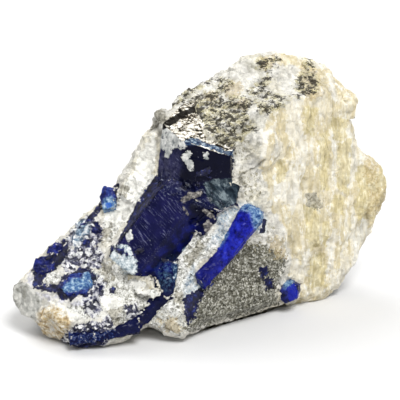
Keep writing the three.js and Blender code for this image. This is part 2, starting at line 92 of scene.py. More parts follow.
# Marks on the stone. Each has one or more closed outlines, placed over the photograph, and each
# outline has the softness of its edge in pixels and then its corners as (pixel, row).
STONE_MARKS = {
    "sand": [
        (8, (200, 290), (209, 275), (222, 262), (234, 250), (246, 241), (266, 246), (280, 250), (286, 262),
         (279, 274), (276, 290), (279, 304), (256, 313), (230, 319), (205, 325), (190, 332), (184, 328),
         (191, 312), (198, 300)),
    ],
    "speckle": [
        (6, (244, 244), (250, 234), (262, 230), (272, 224), (282, 238), (288, 254), (284, 266), (262, 256)),
        (5, (234, 142), (246, 140), (256, 150), (250, 160), (238, 162), (234, 152)),
        (5, (240, 170), (254, 168), (262, 176), (260, 196), (248, 200), (238, 186)),
        (5, (186, 328), (176, 334), (160, 326), (150, 318), (160, 306), (172, 316), (184, 310)),
    ],
    "toe_grey": [
        (4, (8, 292), (16, 280), (28, 284), (36, 292), (42, 299), (41, 308), (36, 316), (34, 328),
         (22, 326), (8, 312)),
    ],
    "honey": [
        (4, (38, 314), (44, 307), (54, 305), (64, 311), (71, 322), (67, 333), (62, 342), (50, 340),
         (40, 330)),
    ],
    "mottle": [
        (4, (66, 250), (80, 245), (100, 247), (105, 258), (100, 269), (90, 270), (78, 268), (66, 273),
         (61, 266), (62, 257)),
        (5, (68, 234), (78, 222), (88, 216), (98, 222), (104, 230), (102, 243), (88, 250), (74, 248),
         (64, 242)),
        (4, (84, 300), (100, 299), (102, 310), (94, 318), (84, 314)),
        (3, (102, 318), (108, 314), (114, 322), (112, 332), (104, 328)),
        (4, (124, 306), (136, 304), (140, 312), (134, 322), (126, 318)),
        (4, (66, 332), (76, 325), (92, 321), (112, 324), (114, 332), (102, 346), (80, 348), (58, 343)),
        (4, (98, 276), (106, 282), (106, 292), (98, 298), (86, 298), (90, 290)),
    ],
    # Painted shade: a dark arc along the top edge of the head, carried on from rim_shade
    "arch": [
        (0.8, (172, 118), (182, 111), (190, 107), (202, 103), (214, 103), (227, 107), (227, 109),
         (214, 106), (203, 106), (192, 110), (182, 115), (172, 121)),
    ],
    # Painted shadow on the base strip, which is also pushed in as an undercut
    "undercut": [
        (1.5, (284, 304), (256, 315), (230, 322), (205, 328), (192, 335), (184, 350), (215, 352),
         (250, 336), (288, 318)),
    ],
    "lump": [
        (3, (144, 116), (158, 100), (172, 106), (164, 124), (148, 134)),
    ],
    # The first outline is a painted highlight along the left ridge; the others are clean white patches
    "clean_and_highlight": [
        (5, (104, 214), (118, 204), (126, 190), (134, 170), (146, 142), (154, 130), (158, 152), (150, 178),
         (136, 206), (120, 226), (108, 236)),
        (3, (46, 300), (60, 304), (84, 316), (70, 322), (62, 310)),
        (4, (100, 294), (124, 298), (116, 318), (98, 316)),
        (3, (128, 278), (146, 284), (160, 298), (140, 296)),
    ],
    "navy": [
        (1.5, (160, 168), (176, 158), (200, 152), (232, 158), (232, 178), (206, 182), (204, 200),
         (186, 236), (178, 262), (160, 268), (136, 266), (114, 250), (129, 218), (144, 192)),
        (2.5, (47, 251), (56, 243), (66, 241), (69, 247), (65, 257), (60, 263), (56, 269), (50, 273),
         (46, 277), (42, 283), (34, 290), (31, 284), (35, 277), (31, 269), (39, 260), (46, 257)),
        (2.5, (34, 287), (44, 283), (55, 284), (62, 280), (60, 276), (66, 274), (72, 273), (80, 268),
         (92, 270), (97, 277), (95, 285), (88, 290), (80, 293), (76, 297), (72, 301), (60, 299), (55, 293),
         (44, 292)),
        (2, (97, 283), (103, 284), (104, 291), (98, 292)),
        (2, (82, 290), (89, 291), (88, 298), (82, 298)),
        (1.5, (109, 287), (116, 288), (115, 293), (110, 293)),
        (2.5, (82, 240), (89, 240), (90, 247), (83, 248)),
        (2, (91, 229), (99, 227), (101, 232), (92, 234)),
        (1.5, (92, 224), (99, 222), (101, 227), (95, 229)),
        (1.5, (114, 184), (118, 183), (118, 193), (121, 200), (116, 200), (112, 196)),
        (1.5, (102, 196), (111, 193), (112, 197), (106, 200), (104, 206), (101, 212), (98, 208)),
        (2, (88, 218), (96, 208), (101, 204), (102, 210), (94, 220), (80, 228), (74, 232)),
        (4, (70, 336), (84, 330), (96, 328), (108, 334), (102, 346), (78, 348)),
        (1.5, (110, 246), (114, 245), (114, 254), (110, 260)),
        (1.5, (258, 209), (263, 214), (266, 224), (264, 233), (258, 233), (262, 224), (260, 216)),
        (3.5, (183, 298), (192, 292), (204, 288), (214, 277), (222, 270), (212, 284), (204, 294),
         (198, 304), (195, 318), (188, 326), (184, 314)),
        (3, (259, 268), (268, 266), (268, 276), (260, 278)),
        (3, (262, 278), (272, 278), (274, 288), (266, 290)),
        (2, (233, 196), (238, 188), (238, 202), (228, 208)),
    ],
    "blue_crust": [
        (3, (112, 248), (120, 244), (130, 247), (135, 256), (138, 268), (135, 276), (124, 274), (117, 264),
         (111, 259)),
        (3, (212, 218), (222, 210), (232, 206), (240, 202), (250, 203), (259, 207), (266, 216), (265, 232),
         (256, 232), (250, 214), (240, 210), (232, 218), (228, 232), (222, 244), (212, 244), (206, 250),
         (212, 236), (218, 228)),
        (3.5, (184, 282), (194, 264), (194, 282), (204, 288), (198, 294), (184, 298)),
        (4, (72, 240), (78, 222), (88, 220), (90, 232), (82, 240), (76, 248)),
        (2, (60, 290), (66, 283), (73, 278), (82, 278), (92, 272), (97, 276), (94, 284), (86, 290),
         (72, 293)),
    ],
    "white": [
        (5, (172, 262), (185, 242), (200, 234), (216, 232), (222, 240), (210, 254), (196, 266), (190, 280),
         (186, 296), (180, 310), (186, 326), (180, 336), (164, 330), (150, 322), (160, 306), (176, 292),
         (178, 276)),
        (6, (100, 262), (112, 262), (130, 276), (148, 284), (164, 299), (150, 305), (140, 316), (128, 326),
         (112, 328), (100, 318), (76, 320), (64, 308), (84, 298), (100, 294)),
        (6, (112, 200), (140, 170), (156, 176), (136, 206), (112, 242), (100, 240), (104, 220)),
        (2.5, (44, 282), (46, 274), (58, 272), (62, 276), (56, 284)),
    ],
    "lilac": [
        (3, (26, 284), (30, 270), (36, 266), (36, 280), (32, 288)),
        (4, (36, 292), (60, 296), (84, 298), (100, 290), (104, 298), (84, 306), (60, 304), (40, 298)),
        (3, (60, 272), (74, 262), (84, 266), (70, 274)),
    ],
    "weathered": [
        (3, (186, 100), (204, 92), (224, 98), (224, 122), (234, 136), (236, 154), (222, 147), (210, 136),
         (202, 122), (192, 110)),
        (4, (219, 78), (229, 79), (233, 84), (227, 91), (222, 97), (208, 101), (203, 97), (214, 89)),
        (5, (216, 100), (236, 97), (249, 95), (257, 99), (251, 108), (247, 116), (253, 122), (258, 130),
         (247, 134), (242, 143), (228, 143), (216, 132), (222, 118)),
        (4, (256, 63), (262, 57), (276, 55), (280, 62), (276, 69), (266, 71), (257, 68)),
        (3, (250, 89), (258, 81), (262, 73), (271, 72), (274, 78), (265, 87), (258, 90)),
        (4, (295, 77), (304, 71), (315, 73), (320, 84), (315, 94), (306, 98), (296, 92)),
        (3, (300, 60), (312, 58), (316, 68), (306, 73)),
        (3, (244, 90), (262, 90), (284, 96), (302, 92), (302, 99), (272, 101), (250, 96)),
        (4, (256, 102), (282, 99), (284, 106), (268, 115), (256, 113)),
        (3, (168, 108), (176, 103), (180, 90), (196, 84), (214, 78), (220, 76), (210, 84), (192, 94),
         (180, 106)),
    ],
    "ochre": [
        (4, (224, 86), (232, 80), (241, 84), (243, 92), (236, 99), (226, 98)),
        (5, (258, 62), (266, 56), (276, 56), (272, 68), (262, 70)),
        (4, (204, 96), (216, 92), (218, 100), (206, 102)),
        (6, (300, 62), (316, 72), (322, 96), (308, 100), (300, 80)),
        (4, (236, 102), (250, 98), (246, 110), (236, 110)),
        (7, (368, 190), (388, 188), (390, 212), (366, 216)),
        (6, (268, 236), (282, 238), (286, 258), (272, 258)),
        (5, (158, 320), (176, 316), (182, 332), (166, 332)),
        (6, (366, 160), (378, 168), (376, 186), (364, 180)),
    ],
    "tan": [
        (5, (304, 206), (316, 202), (320, 246), (306, 250)),
        (5, (318, 134), (328, 130), (328, 190), (318, 190)),
        (5, (338, 142), (352, 138), (348, 196), (336, 188)),
        (5, (330, 192), (344, 196), (342, 214), (330, 212)),
        (6, (310, 256), (326, 254), (326, 286), (310, 288)),
        (5, (330, 116), (348, 120), (344, 144), (332, 138)),
        (5, (276, 160), (286, 160), (284, 182), (276, 184)),
        (6, (304, 106), (318, 108), (314, 136), (304, 134)),
        (4, (322, 222), (328, 222), (328, 248), (322, 246)),
        (8, (356, 164), (386, 172), (388, 214), (358, 222)),
    ],
    "cream": [
        (12, (262, 132), (268, 112), (300, 98), (330, 80), (360, 90), (400, 150), (400, 240), (340, 300),
         (300, 310), (288, 290), (292, 262), (282, 228), (270, 200), (262, 170)),
        (8, (250, 60), (300, 48), (350, 80), (330, 104), (314, 100), (316, 72)),
    ],
    "grey": [
        (2.5, (306, 194), (313, 191), (319, 198), (321, 207), (318, 211), (307, 206)),
        (3, (148, 114), (160, 104), (168, 112), (162, 124), (150, 130)),
        (5, (196, 240), (206, 238), (202, 252), (190, 268), (184, 262)),
        (4, (176, 290), (186, 294), (182, 308), (172, 304)),
        (5, (96, 232), (112, 224), (110, 240), (98, 246)),
        (4, (100, 264), (112, 262), (114, 280), (102, 282)),
        (3, (122, 184), (130, 188), (126, 200), (120, 196)),
        (4, (108, 312), (122, 306), (120, 326), (110, 322)),
    ],
    # A shallow groove, with painted shade below the ledge of a crack
    "crack_shade": [
        (0.8, (237, 179), (241, 174), (248, 170), (257, 166), (266, 158), (266, 160), (258, 168),
         (248, 172), (241, 177), (247, 188), (245, 188)),
    ],
}
# Marks on the crystals, in the same way
CRYSTAL_MARKS = {
    "milky": [
        (2, (163, 126), (172, 129), (180, 133), (185, 139), (187, 146), (184, 149), (180, 149), (178, 148),
         (172, 149), (171, 154), (168, 158), (164, 156), (166, 152), (162, 149), (158, 150), (156, 146),
         (157, 137), (160, 130)),
        (1.5, (184, 153), (189, 150), (192, 153), (190, 158), (194, 163), (194, 170), (190, 171),
         (187, 166), (184, 162), (181, 157)),
        (1.5, (126, 231), (131, 230), (133, 238), (129, 243), (126, 239)),
        (1.5, (203, 152), (209, 151), (208, 160), (204, 158)),
        (1.5, (154, 142), (158, 138), (158, 152), (155, 152)),
    ],
    "pale_rim": [
        (1.5, (184, 141), (190, 138), (200, 138), (206, 142), (214, 145), (224, 149), (235, 153),
         (235, 157), (224, 154), (214, 150), (206, 147), (196, 145), (186, 145)),
        (1.5, (232, 150), (236, 152), (237, 172), (234, 172)),
        (3, (178, 257), (186, 245), (194, 250), (186, 260), (180, 268), (178, 278), (174, 280), (173, 268)),
    ],
    "haze": [
        (7, (158, 270), (170, 260), (184, 258), (180, 276), (172, 290), (158, 288)),
    ],
    # Painted sheen: lightens the head's left facet, which gets less light
    "painted_sheen": [
        (6, (157, 152), (168, 158), (178, 152), (180, 166), (178, 188), (166, 184), (158, 170)),
    ],
    "cheek": [
        (2.5, (109, 258), (113, 249), (120, 244), (128, 246), (133, 253), (137, 262), (137, 272),
         (131, 276), (122, 272), (114, 266)),
    ],
    "violet": [
        # This first outline, on the head's left facet, lightens it as painted sheen
        (2, (157, 152), (168, 158), (178, 152), (180, 166), (178, 188), (166, 184), (158, 170)),
        (6, (148, 188), (184, 196), (188, 213), (172, 231), (150, 262), (138, 268), (124, 254), (108, 250),
         (124, 222), (138, 206)),
    ],
    "royal": [
        (5, (190, 213), (208, 220), (202, 236), (186, 252), (178, 266), (170, 280), (156, 286), (132, 276),
         (140, 268), (151, 262), (173, 231)),
    ],
    "teal": [
        (4, (204, 184), (214, 180), (233, 178), (240, 186), (239, 200), (230, 206), (222, 210), (212, 204),
         (206, 196)),
    ],
    "sliver": [
        (1.5, (180, 200), (188, 193), (196, 192), (203, 190), (201, 196), (190, 200), (184, 203)),
        (1, (182, 207), (184, 206), (189, 214), (187, 216)),
        (1.5, (200, 209), (206, 208), (213, 214), (215, 220), (208, 217)),
        (1.5, (204, 223), (208, 219), (213, 226), (208, 233), (204, 230)),
    ],
    "broken": [
        (4, (154, 176), (166, 174), (184, 182), (205, 182), (212, 190), (224, 200), (222, 216), (206, 206),
         (188, 204), (170, 200), (154, 190)),
    ],
    "foot_mix": [
        (5, (60, 318), (90, 314), (112, 320), (118, 334), (104, 350), (60, 350)),
    ],
    "crust": [
        (3, (210, 220), (222, 209), (234, 204), (250, 202), (260, 206), (268, 216), (266, 234), (256, 234),
         (252, 222), (250, 213), (240, 210), (234, 216), (229, 226), (228, 236), (221, 246), (210, 254)),
        (2.5, (190, 264), (197, 266), (196, 280), (204, 284), (200, 292), (188, 286)),
        (3, (283, 280), (293, 280), (294, 288), (284, 289)),
    ],
    "streak": [
        (2, (61, 291), (66, 283), (73, 278), (82, 278), (84, 272), (92, 272), (97, 277), (94, 285),
         (87, 289), (72, 292)),
        (2.5, (101, 210), (104, 199), (111, 196), (118, 203), (116, 212), (104, 216)),
    ],
    "core": [
        (3, (286, 287), (294, 284), (300, 294), (300, 304), (290, 303)),
        (2, (105, 203), (110, 202), (112, 206), (107, 209)),
    ],
    "rim_shade": [
        (1, (160, 127), (168, 119), (181, 112), (193, 106), (208, 103), (207, 106), (194, 112), (182, 118),
         (171, 125), (164, 130)),
    ],
    "deep_end": [
        (7, (186, 262), (198, 250), (218, 250), (222, 262), (206, 292), (184, 292)),
    ],
    "black": [
        (3, (181, 149), (200, 143), (232, 152), (234, 178), (206, 182), (184, 188), (178, 176), (182, 164)),
        (3, (190, 203), (204, 208), (208, 220), (200, 234), (192, 232), (188, 216)),
    ],
}


# Helpers for shapes
WELD_DISTANCE = 1e-6
BOX_MARGIN = 0.02 * MM  # how far the pieces stay inside the CAD box
COVER_GAP = 3 * MM  # a part that is nearer to the eye by more than this hides what lies behind it
FAR = 1e9
REPEAT = 32  # cells after which the facets and the swell start again
CLEAVAGE = np.array([(0.42, -0.16, 0.22), (-0.31, -0.18, 0.34), (0.05, 0.48, 0.14), (-0.1, -0.1, -0.46)])
CLEAVED_SHARE = 0.75  # how closely a facet follows its cleavage direction
FACET_TILT = 0.9
FACET_FALL = 1.1  # how fast a facet gives way to its neighbours
FACET_STRAY = 0.9  # how far the middle of a facet may lie from the middle of its cell


def vertex_vectors(piece, name):
    """The places ("co") or directions ("normal") of a piece's vertices, one row for each."""
    values = np.empty(len(piece.data.vertices) * 3, np.float32)
    piece.data.vertices.foreach_get(name, values)
    return values.reshape(-1, 3).astype(float)


def positions(piece):
    return vertex_vectors(piece, "co")


def normals(piece):
    return vertex_vectors(piece, "normal")


def move_to(piece, points):
    piece.data.vertices.foreach_set("co", points.astype(np.float32).ravel())
    piece.data.update()


def store(piece, name, value):
    piece.data.attributes.new(name, "FLOAT", "POINT").data.foreach_set("value", value.astype(np.float32))


def smooth_step(low, high, value):
    part = np.clip((value - low) / (high - low), 0, 1)
    return part * part * (3 - 2 * part)


def inside(pixels, corners, softness):
    """1 inside a closed outline and 0 outside, over an edge of the given softness in pixels."""
    corners = np.array(corners, float)
    value = np.zeros(len(pixels))
    low = corners.min(0) - softness
    high = corners.max(0) + softness
    close = ((pixels > low) & (pixels < high)).all(1)
    spots = pixels[close]
    nearest = np.full(len(spots), FAR)
    within = np.zeros(len(spots), bool)
    for start, end in zip(corners, np.roll(corners, -1, axis=0)):
        edge = end - start
        along = np.clip((spots - start) @ edge / (edge @ edge), 0, 1)
        nearest = np.minimum(nearest, np.linalg.norm(spots - start - along[:, None] * edge, axis=1))
        crossed = (start[1] > spots[:, 1]) != (end[1] > spots[:, 1])
        rise = edge[1] if edge[1] else 1e-9
        within ^= crossed & (spots[:, 0] < start[0] + (spots[:, 1] - start[1]) * edge[0] / rise)
    value[close] = smooth_step(-softness, softness, np.where(within, nearest, -nearest))
    return value


def tree_of(piece):
    """A search tree of a piece's faces."""
    return BVHTree.FromPolygons(
        [v.co for v in piece.data.vertices], [p.vertices for p in piece.data.polygons]
    )


def in_view(piece, points):
    """True for each vertex that no other part of the piece hides from the eye."""
    tree = tree_of(piece)
    clear = np.ones(len(points), bool)
    for i, point in enumerate(points):
        sight = Vector(point - EYE)
        first = tree.ray_cast(Vector(EYE), sight.normalized())[3]
        clear[i] = first is None or sight.length - first < COVER_GAP
    return clear


def paint(piece, marks):
    """Stores each mark as a value from 0 to 1 on the vertices that the viewer sees."""
    points = positions(piece)
    pixels = to_pixels(points)
    facing = smooth_step(-0.3, 0.1, -(normals(piece) @ VIEW_AHEAD)) * in_view(piece, points)
    values = {}
    for name, outlines in marks.items():
        covered = [inside(pixels, corners, softness) for softness, *corners in outlines]
        values[name] = facing * np.max(covered, axis=0)
        store(piece, name, values[name])
    return values


def facets(points, cell, seed, stretch=(1, 1, 1), steps=0.25):
    """Height, in cells, of a surface broken into flat facets, most of them along the cleavage.

    The cell is in millimetres, and steps is how far facets lie above or below each other, in cells.
    """
    grid = points / MM / cell / np.array(stretch)
    home = np.floor(grid).astype(int)
    chance = np.random.default_rng(seed).random((REPEAT, REPEAT, REPEAT, 8)) - 0.5
    along = CLEAVAGE[((chance[..., 7] + 0.5) * len(CLEAVAGE)).astype(int)]
    chance[..., 3:6] = (1 - CLEAVED_SHARE) * chance[..., 3:6] + CLEAVED_SHARE * along
    highest = np.full(len(points), -FAR)
    nearest = np.full(len(points), FAR)
    for step in itertools.product((-1, 0, 1), repeat=3):
        square = (home + step) % REPEAT
        lot = chance[square[:, 0], square[:, 1], square[:, 2]]
        away = grid - (home + step + 0.5 + FACET_STRAY * lot[:, :3])
        gap = FACET_FALL * (away**2).sum(1)
        plane = FACET_TILT * (away * lot[:, 3:6]).sum(1) + steps * lot[:, 6]
        highest = np.maximum(highest, plane - gap)
        nearest = np.minimum(nearest, gap)
    return highest + nearest


def swell(points, wave, seed):
    """Smooth noise from -1 to 1 with a wave length in millimetres."""
    grid = points / MM / wave
    home = np.floor(grid).astype(int)
    part = grid - home
    part = part * part * (3 - 2 * part)
    chance = np.random.default_rng(seed).random((REPEAT, REPEAT, REPEAT)) * 2 - 1
    total = np.zeros(len(points))
    for step in itertools.product((0, 1), repeat=3):
        square = (home + step) % REPEAT
        share = np.prod(np.where(step, part, 1 - part), axis=1)
        total += share * chance[square[:, 0], square[:, 1], square[:, 2]]
    return total


def select_only(*pieces):
    bpy.ops.object.select_all(action="DESELECT")
    for piece in pieces:
        piece.select_set(True)
    bpy.context.view_layer.objects.active = pieces[0]


def copy_of(node, name):
    """A welded copy of a CAD solid, to be worked into the piece that is shown."""
    piece = bpy.data.objects.new(name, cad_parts[node].data.copy())
    piece.data.name = name
    piece.data.materials.clear()
    bpy.context.scene.collection.objects.link(piece)
    select_only(piece)
    bpy.ops.object.mode_set(mode="EDIT")
    bpy.ops.mesh.select_all(action="SELECT")
    bpy.ops.mesh.remove_doubles(threshold=WELD_DISTANCE)
    bpy.ops.object.mode_set(mode="OBJECT")
    return piece


def apply_modifier(piece, kind, **settings):
    modifier = piece.modifiers.new("work", kind)
    for key, value in settings.items():
        setattr(modifier, key, value)
    select_only(piece)
    bpy.ops.object.modifier_apply(modifier=modifier.name)


def remesh(piece, voxel):
    apply_modifier(piece, "REMESH", mode="VOXEL", voxel_size=voxel * MM, use_smooth_shade=True)


def drop_crumbs(piece):
    """Removes the small loose bits that a remesh left beside a piece."""
    mesh = bmesh.new()
    mesh.from_mesh(piece.data)
    left = set(mesh.verts)
    parts = []
    while left:
        front = [left.pop()]
        part = list(front)
        while front:
            near = {edge.other_vert(vert) for vert in front for edge in vert.link_edges} & left
            left -= near
            front = list(near)
            part += front
        parts.append(part)
    parts.sort(key=len)
    for part in parts[:-1]:
        bmesh.ops.delete(mesh, geom=part, context="VERTS")
    mesh.to_mesh(piece.data)
    mesh.free()


def depth_from(tree, points):
    """Nearest place and outward direction on a solid, and the distance outside it, for each point."""
    place = np.zeros_like(points)
    outward = np.zeros_like(points)
    distance = np.zeros(len(points))
    for i, point in enumerate(points):
        near, normal, _, gap = tree.find_nearest(Vector(point))
        place[i] = near
        outward[i] = normal
        distance[i] = gap if (Vector(point) - near).dot(normal) > 0 else -gap
    return place, outward, distance


def keep_in_box(points):
    low, high = (np.array(corner) for corner in cad_box)
    return np.clip(points, low + BOX_MARGIN, high - BOX_MARGIN)


MAIN_NODE = "afghanite_main_crystal"
# The small crystals: name, CAD node, slot, height of the uneven facets in millimetres, and seed
SMALL_CRYSTALS = (
    ("blue_bar", "royal_blue_bar_crystal", "royal_afghanite", 0.26, 41),
    ("foot_crystal", "right_foot_crystal", "dark_afghanite", 0.2, 51),
    ("ridge_blue", "ridge_crystal", "pale_afghanite", 0.34, 61),
    ("slope_blue", "slope_crystal", "dark_afghanite", 0.42, 71),
    ("toe_blue", "toe_crystal", "pale_afghanite", 0.42, 81),
)
CRYSTAL_NODES = [MAIN_NODE] + [node for _, node, *_ in SMALL_CRYSTALS]

# Stone
STONE_VOXEL = 0.4
POCKET_FILL = 0.42 * MM  # a copy of each crystal is swollen by this to close the clearance of its pocket
SEAT_REACH = 0.9 * MM  # stone that is nearer to a crystal than this may sink below it
SEAT_DEPTH = 0.45 * MM  # how far the stone under a crystal lies below its surface
RIM = 0.13  # least width, in millimetres, by which the stone laps over the edge of a pocket
RIM_RAGGED = 0.22
LAPPED_FACET = np.array((-0.76, 0, 0.65))  # outward direction of the prism's facet that the stone laps over
LAPPED_LIKENESS = 0.93
LAPPED_HEIGHT = 32 * MM
LAPPED_X = -7 * MM
BASE_RIM = (0.9 * MM, 0.2 * MM)  # the relief ends between these heights, so the underside stays flat
UNDERCUT_DEPTH = 2.5 * MM
BROAD_BLADE = (0.8, 0.8, 2.2)
NARROW_BLADE = (1, 1, 2.4)


def make_stone():
    stone = copy_of("calcite_matrix", "marble_block")
    stone_tree = tree_of(stone)
    fillers = [copy_of(node, "filler") for node in CRYSTAL_NODES]
    for filler in fillers:
        apply_modifier(filler, "DISPLACE", strength=POCKET_FILL, mid_level=0)
    crystals = [copy_of(node, "crystal") for node in CRYSTAL_NODES]
    select_only(*crystals)
    bpy.ops.object.join()
    crystal_tree = tree_of(crystals[0])
    bpy.data.objects.remove(crystals[0])
    select_only(stone, *fillers)
    bpy.ops.object.join()
    remesh(stone, STONE_VOXEL)

    # The filled pockets sink below the crystals, so the stone hugs each crystal with a ragged rim.
    points = positions(stone)
    place, outward, from_crystal = depth_from(crystal_tree, points)
    _, _, from_stone = depth_from(stone_tree, points)
    ragged = np.maximum(swell(points, 1.4, 3) + 0.6 * swell(points, 0.7, 4), 0)
    over_crystal = (from_crystal < SEAT_REACH) & (from_stone > (RIM + RIM_RAGGED * ragged) * MM)
    lapped = outward @ LAPPED_FACET > LAPPED_LIKENESS
    lapped &= (points[:, 2] < LAPPED_HEIGHT) & (points[:, 0] < LAPPED_X)
    over_crystal &= ~lapped
    points[over_crystal] = (place - outward * SEAT_DEPTH)[over_crystal]
    move_to(stone, points)
    return stone, over_crystal, from_crystal / MM


def break_stone(stone, marks, under_crystal, from_crystal):
    """Breaks the stone's surface into rough grains, each part of it in its own way."""
    points, outward = positions(stone), normals(stone)
    sand, toe, cream, white = (marks[name] for name in ("sand", "toe_grey", "cream", "white"))
    calm = 1 - 0.85 * np.maximum(sand, toe)
    unseen = 1 - smooth_step(-0.3, 0.2, -(outward @ VIEW_AHEAD))
    height = calm * ((0.8 + 2.6 * unseen) * facets(points, 7, 10, steps=0.15) - 0.5 * unseen)
    height += calm * (1 - 0.5 * cream) * (1.3 * facets(points, 3.2, 11) + 0.9 * facets(points, 1.5, 12))
    height += 0.5 * facets(points, 0.85, 13) * (0.4 + 0.6 * calm) * (1 - 0.4 * cream)
    height -= 1.1 * marks["lump"]
    blades = 1.3 * facets(points, 4.5, 9, stretch=BROAD_BLADE)
    blades += 1.1 * facets(points, 1.8, 14, stretch=NARROW_BLADE)
    height += cream * blades
    height += marks["grey"] * facets(points, 2.2, 22)
    height += white * 0.8 * facets(points, 1.9, 15)
    height += marks["mottle"] * 0.8 * facets(points, 1.2, 16)
    pits = 0.3 * smooth_step(0.1, 0.5, swell(points, 1.1, 18))
    height += marks["weathered"] * (0.9 * facets(points, 1.3, 17) - pits)
    height += sand * 0.3 * facets(points, 0.6, 19)
    height -= marks["crack_shade"] * 0.5
    # Close to a crystal the stone stays low, apart from a few crumbs that lap over its edge.
    crumbs = 0.25 * smooth_step(0.35, 0.8, swell(points, 1.3, 21))
    height = np.minimum(height, 0.1 + crumbs + 0.7 * np.maximum(from_crystal - 0.3, 0))
    on_base = smooth_step(*BASE_RIM, points[:, 2])
    height *= np.where(under_crystal, 0, 1) * (1 - on_base)
    moved = keep_in_box(points + outward * (height * MM)[:, None])
    moved[:, 2] = np.where(on_base > 0.9, np.maximum(points[:, 2], 0), moved[:, 2])
    moved[:, 1] += UNDERCUT_DEPTH * marks["undercut"]
    move_to(stone, moved)
    store(stone, "unseen", unseen)
    store(stone, "relief", smooth_step(-0.9, 0.9, height))


stone, stone_under_crystal, stone_from_crystal = make_stone()
stone_marks = paint(stone, STONE_MARKS)
break_stone(stone, stone_marks, stone_under_crystal, stone_from_crystal)

# Crystals
MAIN_VOXEL = 0.26
SMALL_VOXEL = 0.17
TOP_DIRECTION = np.array((0.0, -0.2, 0.98))
# Rows or pixels of the photograph between which a part of the main crystal fades in or out.
TOP_ENDS = (160, 150)
HEAD_ENDS = (190, 180)
LOWER_STARTS = (264, 280)
NECK_STARTS = (184, 196)
NECK_ENDS = (245, 235)
NECK_LEFT = (186, 194)


def make_crystal(node, name, voxel, rough, seed):
    """A worked copy of a crystal; rough is the height of its small uneven facets in millimetres."""
    piece = copy_of(node, name)
    remesh(piece, voxel)
    drop_crumbs(piece)
    marks = paint(piece, CRYSTAL_MARKS)
    points, outward = positions(piece), normals(piece)
    height = rough * (2 * facets(points, 1.5, seed) + facets(points, 0.7, seed + 1))
    height += 0.06 * swell(points, 4, seed + 2)
    height += marks["crust"] * 0.8 * facets(points, 1, seed + 3)
    return piece, marks, points, outward, height


def finish_crystal(piece, points, outward, height):
    move_to(piece, keep_in_box(points + outward * (height * MM)[:, None]))
    return piece


def make_main_crystal():
    piece, marks, points, outward, height = make_crystal(MAIN_NODE, "main_crystal", MAIN_VOXEL, 0, 31)
    pixel, row = to_pixels(points).T
    top = smooth_step(0.6, 0.85, outward @ TOP_DIRECTION) * smooth_step(*TOP_ENDS, row)
    store(piece, "top", top)
    lower = smooth_step(*LOWER_STARTS, row)
    head_front = smooth_step(*HEAD_ENDS, row) * (1 - top)
    neck = smooth_step(*NECK_LEFT, pixel) * smooth_step(*NECK_STARTS, row) * smooth_step(*NECK_ENDS, row)
    height += 0.12 * facets(points, 3, 30)
    height += head_front * 0.35 * facets(points, 2.2, 39)
    height += marks["cheek"] * (0.1 + 0.6 * facets(points, 1.3, 29))
    pits = 0.3 * smooth_step(0, 0.4, swell(points, 0.9, 33))
    height += top * (1.1 * facets(points, 1.4, 32, stretch=(1.6, 1.6, 1)) - pits)
    height += marks["broken"] * 1.3 * facets(points, 1.7, 34)
    height += marks["milky"] * (0.08 + 0.25 * facets(points, 0.9, 35))
    height += marks["teal"] * 1.2 * facets(points, 2, 36)
    height += neck * 1.2 * facets(points, 2.2, 37)
    height += lower * (1.1 * facets(points, 1.9, 38) + 0.35 * facets(points, 0.9, 40))
    height += marks["sliver"] * 0.25
    return finish_crystal(piece, points, outward, height)


def make_small_crystal(node, name, rough, seed):
    piece, _, points, outward, height = make_crystal(node, name, SMALL_VOXEL, rough, seed)
    return finish_crystal(piece, points, outward, height)


main_crystal = make_main_crystal()
small_crystals = {}
for name, node, _, rough, seed in SMALL_CRYSTALS:
    small_crystals[name] = make_small_crystal(node, name, rough, seed)


